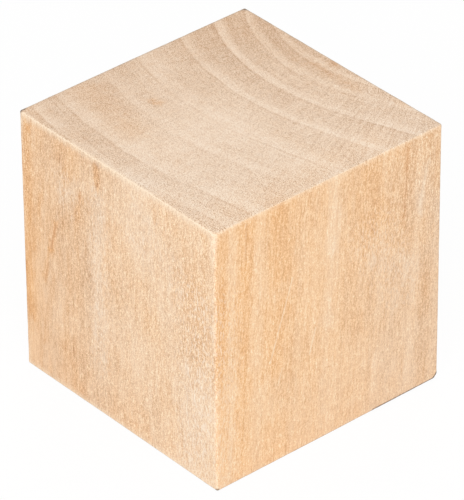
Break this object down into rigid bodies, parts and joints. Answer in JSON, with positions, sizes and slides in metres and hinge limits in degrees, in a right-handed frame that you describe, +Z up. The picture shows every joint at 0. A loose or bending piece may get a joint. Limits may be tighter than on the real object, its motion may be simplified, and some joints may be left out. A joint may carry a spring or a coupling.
{
  "type": "wooden cube",
  "caption": "Plain bare-wood cube sawn from planed square stock, with hand-eased edges and a knocked corner, used as a building, craft or spacer block.",
  "frame": {"origin": "middle of the sawn end that the block stands on", "axes": "+Z up along the grain; +X and -Y are the outward directions of the two planed sides that the picture shows, on the right and on the left"},
  "size_m": [0.039, 0.039, 0.0402],
  "materials": {
    "bare_wood": "sanded and left bare, with no oil, paint or varnish"
  },
  "bodies": {
    "root": {"wooden_cube": "bare_wood"}
  },
  "joints": []
}
